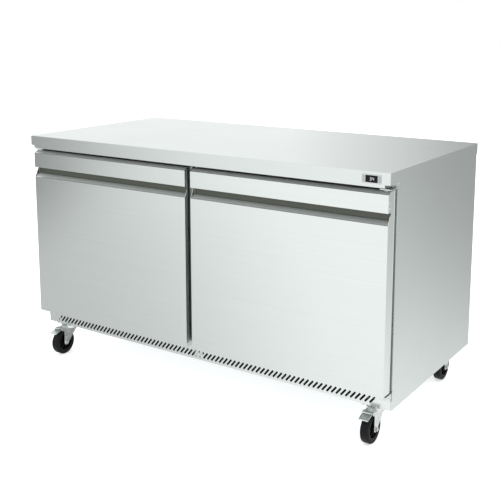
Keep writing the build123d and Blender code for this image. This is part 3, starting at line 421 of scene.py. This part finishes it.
def turned(bm, origin, axis, profile, steps):
    """Revolves a profile of (along, radius) points about an axis and closes both ends."""
    axis = Vector(axis).normalized()
    across = axis.orthogonal().normalized()
    other = axis.cross(across)
    origin = Vector(origin)
    rings = []
    for along, radius in profile:
        ring = []
        for step in range(steps):
            angle = 2 * pi * step / steps
            offset = across * (radius * cos(angle)) + other * (radius * sin(angle))
            ring.append(bm.verts.new(origin + axis * along + offset))
        rings.append(ring)
    for first, second in zip(rings, rings[1:]):
        for step in range(steps):
            nxt = (step + 1) % steps
            bm.faces.new((first[step], first[nxt], second[nxt], second[step]))
    bm.faces.new(list(reversed(rings[0])))
    bm.faces.new(rings[-1])


def hoop(bm, origin, axis, profile, steps=72):
    """Revolves a closed profile of (along, radius) points about an axis into a ring."""
    axis = Vector(axis).normalized()
    across = axis.orthogonal().normalized()
    other = axis.cross(across)
    origin = Vector(origin)
    rings = []
    for step in range(steps):
        angle = 2 * pi * step / steps
        out = across * cos(angle) + other * sin(angle)
        rings.append([bm.verts.new(origin + axis * along + out * radius) for along, radius in profile])
    for index in range(steps):
        first, second = rings[index], rings[(index + 1) % steps]
        for corner in range(len(profile)):
            nxt = (corner + 1) % len(profile)
            bm.faces.new((first[corner], first[nxt], second[nxt], second[corner]))
    bmesh.ops.recalc_face_normals(bm, faces=bm.faces)


# outline of a screw head as (height, radius), both as shares of its radius
HEAD_DOME = ((0.0, 1.0), (0.3, 1.0), (0.55, 0.86), (0.7, 0.55))
HEAD_HEIGHT = HEAD_DOME[-1][0]
DRIVE_RADIUS = 0.42
DRIVE_HEIGHT = 0.02


def pan_head_screw(bm, origin, axis, radius):
    """A domed screw head with a small raised square where the driver fits."""
    dome = [(height * radius, share * radius) for height, share in HEAD_DOME]
    turned(bm, origin, axis, dome, steps=24)
    top = Vector(origin) + Vector(axis).normalized() * (HEAD_HEIGHT * radius)
    drive = [(height * radius, DRIVE_RADIUS * radius) for height in (0.0, DRIVE_HEIGHT)]
    turned(bm, top, axis, drive, steps=4)


# ---------------------------------------------------------------- camera
CAMERA_PLACE = (1.828, -2.726, 1.354)
CAMERA_YAW = 33.65
CAMERA_TILT = 9.91
CAMERA_LENS = 62.83
CAMERA_SHIFT = -0.16

camera_data = bpy.data.cameras.new("camera")
camera_data.sensor_width = 36.0
camera_data.lens = CAMERA_LENS
camera_data.shift_y = CAMERA_SHIFT
camera = bpy.data.objects.new("camera", camera_data)
camera.location = CAMERA_PLACE
camera.rotation_euler = (radians(90 - CAMERA_TILT), 0, radians(CAMERA_YAW))
bpy.context.scene.collection.objects.link(camera)
bpy.context.scene.camera = camera
bpy.context.scene.view_settings.view_transform = "Standard"


# ---------------------------------------------------------------- studio
STUDIO_LEVEL = 1.46
STUDIO_TINT = (0.985, 1.0, 0.995, 1)
# soft grey areas of the studio: direction, cosines of their outer and inner edges, change of level
STUDIO_LOBES = (
    ((-0.800, -0.426, -0.423), 0.839, 0.975, -0.62),
    ((-0.808, -0.587, -0.052), 0.970, 0.9945, -0.72),
    ((0.095, 0.995, -0.010), 0.840, 0.986, -1.08),
    ((0.735, 0.605, -0.305), 0.920, 0.990, -1.05),
    ((-0.596, 0.791, 0.139), 0.707, 0.966, -0.28),
    ((-0.270, 0.953, 0.139), 0.960, 0.994, -0.36),
    ((0.0, 0.0, 1.0), 0.35, 0.95, -0.25),
)


def build_world():
    """Bright studio with soft grey areas, which the brushed sheet reflects, seen as plain white behind."""
    world = bpy.data.worlds.new("studio")
    bpy.context.scene.world = world
    world.use_nodes = True
    tree = world.node_tree
    background = tree.nodes["Background"]
    place = tree.nodes.new("ShaderNodeTexCoord")

    def lobe(direction, start, end, depth):
        """Rises smoothly from 0 to a depth as the ray turns towards a direction."""
        dot = tree.nodes.new("ShaderNodeVectorMath")
        dot.operation = "DOT_PRODUCT"
        tree.links.new(place.outputs["Generated"], dot.inputs[0])
        dot.inputs[1].default_value = Vector(direction).normalized()
        ramp = tree.nodes.new("ShaderNodeMapRange")
        ramp.interpolation_type = "SMOOTHSTEP"
        ramp.inputs["From Min"].default_value = start
        ramp.inputs["From Max"].default_value = end
        ramp.inputs["To Min"].default_value = 0.0
        ramp.inputs["To Max"].default_value = depth
        tree.links.new(dot.outputs["Value"], ramp.inputs["Value"])
        return ramp.outputs["Result"]

    level = STUDIO_LEVEL
    for direction, start, end, depth in STUDIO_LOBES:
        node = tree.nodes.new("ShaderNodeMath")
        node.operation = "ADD"
        if isinstance(level, float):
            node.inputs[0].default_value = level
        else:
            tree.links.new(level, node.inputs[0])
        tree.links.new(lobe(direction, start, end, depth), node.inputs[1])
        level = node.outputs["Value"]
    tree.links.new(level, background.inputs["Strength"])
    background.inputs["Color"].default_value = STUDIO_TINT
    plain = tree.nodes.new("ShaderNodeBackground")
    plain.inputs["Color"].default_value = (1, 1, 1, 1)
    rays = tree.nodes.new("ShaderNodeLightPath")
    choose = tree.nodes.new("ShaderNodeMixShader")
    tree.links.new(rays.outputs["Is Camera Ray"], choose.inputs["Fac"])
    tree.links.new(background.outputs["Background"], choose.inputs[1])
    tree.links.new(plain.outputs["Background"], choose.inputs[2])
    tree.links.new(choose.outputs["Shader"], tree.nodes["World Output"].inputs["Surface"])


build_world()

FLOOR_HALF = 30.0
FLOOR_COLOR = (0.93, 0.935, 0.935)
FLOOR_GLOW = 0.45
FLOOR_CORNERS = ((-1, -1), (1, -1), (1, 1), (-1, 1))
floor_mesh = bpy.data.meshes.new("floor")
floor_bm = bmesh.new()
floor_bm.faces.new([floor_bm.verts.new((x * FLOOR_HALF, y * FLOOR_HALF, 0)) for x, y in FLOOR_CORNERS])
floor_bm.to_mesh(floor_mesh)
floor_bm.free()
floor = bpy.data.objects.new("floor", floor_mesh)
bpy.context.scene.collection.objects.link(floor)
floor.visible_glossy = False
floor.visible_diffuse = False
floor_paint = Shader(
    "floor_paint", FLOOR_COLOR, rough=0.9, Emission_Color=(1, 1, 1, 1), Emission_Strength=FLOOR_GLOW
)
floor_paint.shade(floor_paint.noise(0.7), 0.99, 1.01)
floor.data.materials.append(floor_paint.material)


def soft_light(name, place, target, size, power):
    """A square studio softbox aimed at a point."""
    data = bpy.data.lights.new(name, "AREA")
    data.shape = "SQUARE"
    data.size = size
    data.energy = power
    light = bpy.data.objects.new(name, data)
    light.location = place
    light.rotation_euler = (Vector(target) - Vector(place)).to_track_quat("-Z", "Y").to_euler()
    bpy.context.scene.collection.objects.link(light)
    return light


overhead = soft_light("overhead", place=(0.4, -0.6, 4.2), target=(0, 0, 0), size=4.5, power=40.0)
overhead.visible_glossy = False

# ---------------------------------------------------------------- handle end screws
OUTWARD = {"left": -1, "right": 1}


def outer_face(side, low, high):
    """The X of a box's face on the outer side of the cabinet."""
    return low.x if side == "left" else high.x


DOOR_SCREW_RADIUS = 0.0026
DOOR_SCREW_BACK = 0.010
DOOR_SCREW_DROPS = (0.034, 0.052)
DOOR_SCREW_SEAT = 0.0003
for side in SIDES:
    low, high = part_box(f"{side}_door_handle")
    outward = OUTWARD[side]
    head_x = outer_face(side, low, high) - outward * DOOR_SCREW_SEAT
    for index, drop in enumerate(DOOR_SCREW_DROPS):
        bm = bmesh.new()
        place = (head_x, low.y + DOOR_SCREW_BACK, high.z - drop)
        pan_head_screw(bm, place, (outward, 0, 0), DOOR_SCREW_RADIUS)
        piece(f"{side}_handle_screw_{index + 1}", bm, f"{side}_door", "screw_steel")


# ---------------------------------------------------------------- corner screws of the side panels
SIDE_SCREW_RADIUS = 0.0024
SIDE_SCREW_INSET = 0.006
SIDE_SCREW_SEAT = 0.0002
ABOVE_FASCIA_EDGE = 0.008
ABOVE_PANEL_EDGE = 0.012
fascia_low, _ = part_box("worktop")
for side in SIDES:
    low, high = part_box(f"side_panel_{side}")
    outward = OUTWARD[side]
    head_x = outer_face(side, low, high) - outward * SIDE_SCREW_SEAT
    bm = bmesh.new()
    for level in (fascia_low.z + ABOVE_FASCIA_EDGE, low.z + ABOVE_PANEL_EDGE):
        place = (head_x, low.y + SIDE_SCREW_INSET, level)
        pan_head_screw(bm, place, (outward, 0, 0), SIDE_SCREW_RADIUS)
    piece(f"{side}_side_screws", bm, "cabinet", "screw_steel")


# ---------------------------------------------------------------- controller face
CORNER_SHARE = 0.2


def slab(bm, centre, size, turn=0.0, axis="Y"):
    """Adds a thin block with softened corners, turned about one axis through its centre."""
    made = bmesh.ops.create_cube(bm, size=1.0)["verts"]
    bmesh.ops.scale(bm, verts=made, vec=size)
    edges = list({edge for vert in made for edge in vert.link_edges})
    softening = min(size) * CORNER_SHARE
    bevelled = bmesh.ops.bevel(bm, geom=edges, offset=softening, segments=2, affect="EDGES")
    left_over = {vert for vert in made if vert.is_valid}
    verts = list({vert for face in bevelled["faces"] for vert in face.verts} | left_over)
    bmesh.ops.rotate(bm, verts=verts, cent=(0, 0, 0), matrix=Matrix.Rotation(turn, 3, axis))
    bmesh.ops.translate(bm, verts=verts, vec=centre)


DIGIT_HEIGHT = 0.0090
DIGIT_WIDTH = 0.0046
DIGIT_STROKE = 0.0009
DIGIT_THICK = 0.0003
DIGIT_PROUD = 0.0001
DIGIT_PITCH = 0.0085
FIRST_DIGIT = -0.4
DIGIT_SEGMENTS = {"3": "abcdg", "4": "bcfg"}
# painted glow: the display's segments and the keys' arrow marks give off a faint light of their own
painted_digit_glow = Shader(
    "digit_segments_painted_glow",
    (0.85, 0.87, 0.88),
    rough=0.4,
    Emission_Color=(0.85, 0.9, 0.95, 1),
    Emission_Strength=0.35,
)
painted_digit_glow.shade(painted_digit_glow.noise(900.0), 0.85, 1.1)
window_low, window_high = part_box("display_window")
window_mid = (window_low + window_high) / 2
bm = bmesh.new()
half_h = DIGIT_HEIGHT / 2
half_w = DIGIT_WIDTH / 2
segment_places = {
    "a": (0, half_h, "flat"),
    "g": (0, 0, "flat"),
    "d": (0, -half_h, "flat"),
    "b": (half_w, half_h / 2, "upright"),
    "c": (half_w, -half_h / 2, "upright"),
    "f": (-half_w, half_h / 2, "upright"),
}
segment_sizes = {
    "flat": (DIGIT_WIDTH - DIGIT_STROKE, DIGIT_THICK, DIGIT_STROKE),
    "upright": (DIGIT_STROKE, DIGIT_THICK, half_h - DIGIT_STROKE),
}
for index, digit in enumerate("34"):
    digit_x = window_mid.x + (index + FIRST_DIGIT) * DIGIT_PITCH
    for name in DIGIT_SEGMENTS[digit]:
        x, z, way = segment_places[name]
        centre = (digit_x + x, window_low.y - DIGIT_PROUD, window_mid.z + z)
        slab(bm, centre, segment_sizes[way])
piece("display_digits", bm, "cabinet", "window", material=painted_digit_glow.material, smooth=False)

MARK_RADIUS = 0.0013
MARK_PROUD = 0.00003
MARK_DEPTH = 0.0002
# the left key's arrow points down and the right key's up
for side, turn in (("left", pi), ("right", 0.0)):
    low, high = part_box(f"{side}_key")
    middle = (low + high) / 2
    bm = bmesh.new()
    corners = []
    for step in range(3):
        angle = pi / 2 + turn + 2 * pi * step / 3
        corners.append((middle.x + MARK_RADIUS * cos(angle), middle.z + MARK_RADIUS * sin(angle)))
    front = [bm.verts.new((x, low.y - MARK_PROUD, z)) for x, z in corners]
    rear = [bm.verts.new((x, low.y + MARK_DEPTH, z)) for x, z in corners]
    bm.faces.new(front)
    bm.faces.new(list(reversed(rear)))
    for step in range(3):
        nxt = (step + 1) % 3
        bm.faces.new((front[nxt], front[step], rear[step], rear[nxt]))
    bmesh.ops.recalc_face_normals(bm, faces=bm.faces)
    # the arrow marks take the digits' painted glow
    piece(f"{side}_key_mark", bm, f"{side}_key", "key", material=painted_digit_glow.material, smooth=False)

# ---------------------------------------------------------------- wheel hubs and tyre mould lines
AXLE_WAY = (1, 0, 0)
RIB_COUNT = 8
RIB_THICK = 0.0026
RIB_OVERLAP = 0.001
RIB_SETBACK = 0.0022
RIM_BELOW_TREAD = 0.0185
BOSS_RADIUS = 0.0095
PARTING_HALF_WIDTH = 0.0006
PARTING_ROOT = 0.006
PARTING_EDGE = 0.0004
PARTING_CREST = 0.0001
SIDE_LINE_DEPTHS = (0.0075, 0.0105)
SIDE_LINE_HALF_HEIGHT = 0.0003
SIDE_LINE_HALF_WIDTH = 0.0004


def hub_ribs(bm, centre, rim_radius, width):
    """Ribs that run from the hub's boss out to its rim."""
    mid = (rim_radius + BOSS_RADIUS) / 2
    size = (width, RIB_THICK, rim_radius - BOSS_RADIUS + RIB_OVERLAP)
    for index in range(RIB_COUNT):
        angle = 2 * pi * index / RIB_COUNT
        place = (centre.x, centre.y - mid * sin(angle), centre.z + mid * cos(angle))
        slab(bm, place, size, turn=angle, axis="X")


def tyre_lines(bm, centre, radius, half_width):
    """Raised lines on both sidewalls and the parting line round the tread."""
    for side_x in (-half_width, half_width):
        for depth in SIDE_LINE_DEPTHS:
            inner_x = side_x - SIDE_LINE_HALF_HEIGHT
            outer_x = side_x + SIDE_LINE_HALF_HEIGHT
            inner = radius - depth - SIDE_LINE_HALF_WIDTH
            outer = radius - depth + SIDE_LINE_HALF_WIDTH
            profile = [(inner_x, inner), (inner_x, outer), (outer_x, outer), (outer_x, inner)]
            hoop(bm, centre, AXLE_WAY, profile)
    parting = [
        (-PARTING_HALF_WIDTH, radius - PARTING_ROOT),
        (-PARTING_HALF_WIDTH, radius - PARTING_EDGE),
        (0.0, radius - PARTING_CREST),
        (PARTING_HALF_WIDTH, radius - PARTING_EDGE),
        (PARTING_HALF_WIDTH, radius - PARTING_ROOT),
    ]
    hoop(bm, centre, AXLE_WAY, parting)


for caster in CASTERS:
    low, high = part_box(f"{caster}_tyre")
    centre = (low + high) / 2
    radius = (high.z - low.z) / 2
    half_width = (high.x - low.x) / 2
    bm = bmesh.new()
    hub_ribs(bm, centre, radius - RIM_BELOW_TREAD, 2 * (half_width - RIB_SETBACK))
    piece(f"{caster}_hub_ribs", bm, f"{caster}_wheel", "hub")
    bm = bmesh.new()
    tyre_lines(bm, centre, radius, half_width)
    piece(f"{caster}_tyre_lines", bm, f"{caster}_wheel", "tyre")
